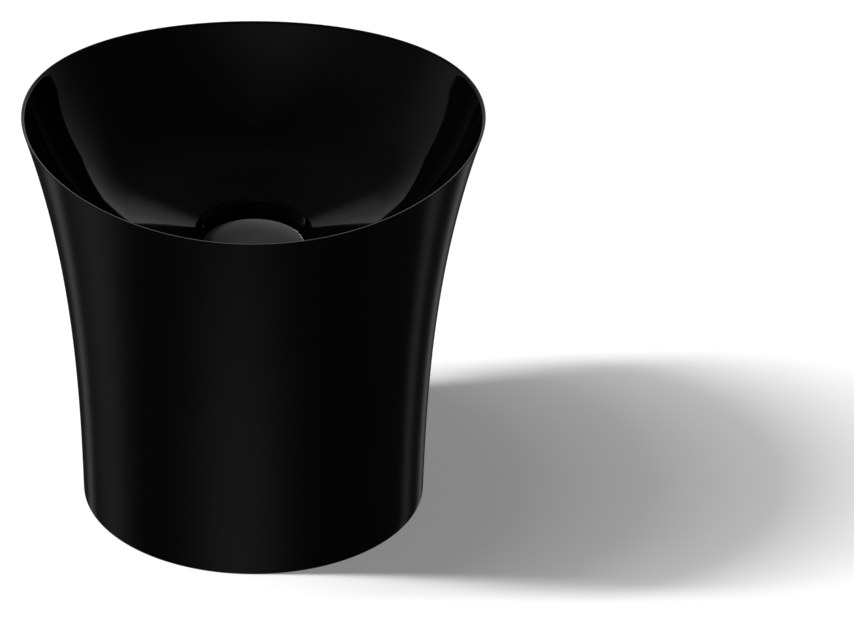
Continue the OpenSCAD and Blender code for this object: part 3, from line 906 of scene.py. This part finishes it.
strip, strip_in, strip_out = start_group(
    "soft strip",
    {"Ray": None, "Facing": None, "Narrowness": 10.0, "Dark below": -1.2, "Full above": -1.0,
     "Full below": 1.0, "Dark above": 1.2, "Brightness": 0.1},
    ["Light"],
)
ray = place(strip, "ShaderNodeSeparateXYZ", {0: strip_in["Ray"]}).outputs
level = place(strip, "ShaderNodeCombineXYZ", {0: ray[0], 1: ray[1]}).outputs[0]
level = place(strip, "ShaderNodeVectorMath", {0: level}, operation="NORMALIZE").outputs[0]
ahead = place(
    strip, "ShaderNodeVectorMath", {0: level, 1: strip_in["Facing"]}, operation="DOT_PRODUCT"
).outputs["Value"]
fall = calc(strip, "MULTIPLY", calc(strip, "SUBTRACT", ahead, 1.0), strip_in["Narrowness"])
hump = calc(strip, "EXPONENT", fall)
rising = span(strip, ray[2], strip_in["Dark below"], strip_in["Full above"], 0.0, 1.0, True)
fading = span(strip, ray[2], strip_in["Full below"], strip_in["Dark above"], 1.0, 0.0, True)
light = calc(strip, "MULTIPLY", calc(strip, "MULTIPLY", hump, rising), fading)
strip.links.new(calc(strip, "MULTIPLY", light, strip_in["Brightness"]), strip_out["Light"])

# name: bearing and spread in degrees; dark below, full above, full below and dark above, as
# the upward part of the ray's direction; brightness
STRIPS = {
    "front": (-10, 22, -1.2, -0.35, -0.3, 1.25, 0.26),
    "left": (-110, 13, -2.0, -1.5, -0.2, 0.95, 0.11),
    "left back": (-146, 5, -2.0, -1.5, -0.5, -0.1, 0.15),
    "right back": (158, 5, -2.0, -1.5, -0.5, -0.1, 0.16),
    "right": (128, 4.5, -2.0, -1.5, -0.5, -0.1, 0.085),
    "back": (174, 25, -0.4, 0.0, 0.2, 0.62, 1.1),
    "back edge": (180, 7, 0.44, 0.49, 0.53, 0.58, 1.5),
    "back high": (180, 60, 0.30, 0.70, 0.85, 1.02, 0.015),
    "left fill": (-75, 60, -0.3, 0.2, 0.3, 1.2, 0.03),
}
world = bpy.data.worlds.new("dark studio")
bpy.context.scene.world = world
world.use_nodes = True
tree = world.node_tree
tree.nodes.clear()
ray_direction = place(tree, "ShaderNodeTexCoord").outputs["Generated"]
ROOM, FILL, WHITE = 0.024, 0.10, 1.0
room = ROOM
for bearing, spread, dark_low, full_low, full_high, dark_high, brightness in STRIPS.values():
    added = use_group(tree, strip, {
        "Ray": ray_direction,
        "Facing": direction_to(bearing),
        "Narrowness": 1.0 / math.radians(spread) ** 2,
        "Dark below": dark_low,
        "Full above": full_low,
        "Full below": full_high,
        "Dark above": dark_high,
        "Brightness": brightness,
    })["Light"]
    room = calc(tree, "ADD", added, room)
paths = place(tree, "ShaderNodeLightPath").outputs
not_glossy = place(tree, "ShaderNodeMapRange", {
    "Value": paths["Is Camera Ray"], "To Min": FILL, "To Max": WHITE,
}).outputs[0]
seen = {0: paths["Is Glossy Ray"], 2: not_glossy, 3: room}
strength = place(tree, "ShaderNodeMix", seen).outputs[0]
sky = place(tree, "ShaderNodeBackground", {"Strength": strength}).outputs[0]
place(tree, "ShaderNodeOutputWorld", {"Surface": sky})
print("room of", len(STRIPS), "strips")

# %% Shadow light
# name: lowest and highest elevation in degrees, and its share of the light on the floor
BANKS = {
    "main bank": (40.5, 56.5, 0.60),
    "middle bank": (56.5, 70.0, 0.15),
    "top bank": (70.0, 87.0, 0.085),
}
BANK_DISTANCE, BANK_WIDTH, BANK_BEARING = 12.0, 0.7, -87.2
# watts that a bank straight above would need to light the floor to full white
WATTS_FOR_WHITE = math.pi ** 2 * BANK_DISTANCE ** 2 / FLOOR_ALBEDO
for name, (lowest, highest, portion) in BANKS.items():
    middle, reach = math.radians((lowest + highest) / 2), math.radians(highest - lowest)
    flat = Vector(direction_to(BANK_BEARING)) * math.cos(middle)
    towards = flat + Vector((0.0, 0.0, math.sin(middle)))
    bank = bpy.data.lights.new(name, "AREA")
    bank.shape = "RECTANGLE"
    bank.size = BANK_WIDTH
    bank.size_y = 2 * BANK_DISTANCE * math.tan(reach / 2)
    bank.energy = portion * WATTS_FOR_WHITE / math.sin(middle)
    light_object = bpy.data.objects.new(name, bank)
    bpy.context.scene.collection.objects.link(light_object)
    light_object.location = towards * BANK_DISTANCE
    light_object.rotation_mode = "QUATERNION"
    light_object.rotation_quaternion = towards.to_track_quat("Z", "Y")
    light_object.visible_glossy = False
    light_object.visible_camera = False
    print(name, round(bank.size_y, 2), "m tall,", round(bank.energy), "W")

# %% [markdown]
# ## Camera
#
# A long lens far away keeps the upright sides nearly parallel. The camera stands in front,
# looks down at the basin, and is turned a little to the right, so that the basin sits to
# the left of the picture and its shadow has room on the right.

# %% Camera
CAMERA_PLACE = Vector((0.0, -7.509, 4.613))
LOOK_DOWN, LOOK_RIGHT, LOOK_UP = 30.57, 0.01731, 0.00005
SENSOR, FOCAL_LENGTH = 36.0, 422.5
dip = math.radians(LOOK_DOWN)
forwards = Vector((0.0, math.cos(dip), -math.sin(dip)))
above = Vector((0.0, math.sin(dip), math.cos(dip)))
aim = (forwards + Vector((1.0, 0.0, 0.0)) * LOOK_RIGHT + above * LOOK_UP).normalized()
right = aim.cross(above).normalized()
upright = right.cross(aim)
lens = bpy.data.cameras.new("camera")
lens.sensor_width, lens.lens = SENSOR, FOCAL_LENGTH
lens.clip_start, lens.clip_end = 0.1, 200.0
camera = bpy.data.objects.new("camera", lens)
bpy.context.scene.collection.objects.link(camera)
turn_to = Matrix((right, upright, -aim)).transposed()
camera.matrix_world = Matrix.Translation(CAMERA_PLACE) @ turn_to.to_4x4()
bpy.context.scene.camera = camera
bpy.context.scene.view_settings.view_transform = "Standard"
print("camera at", list(camera.location))
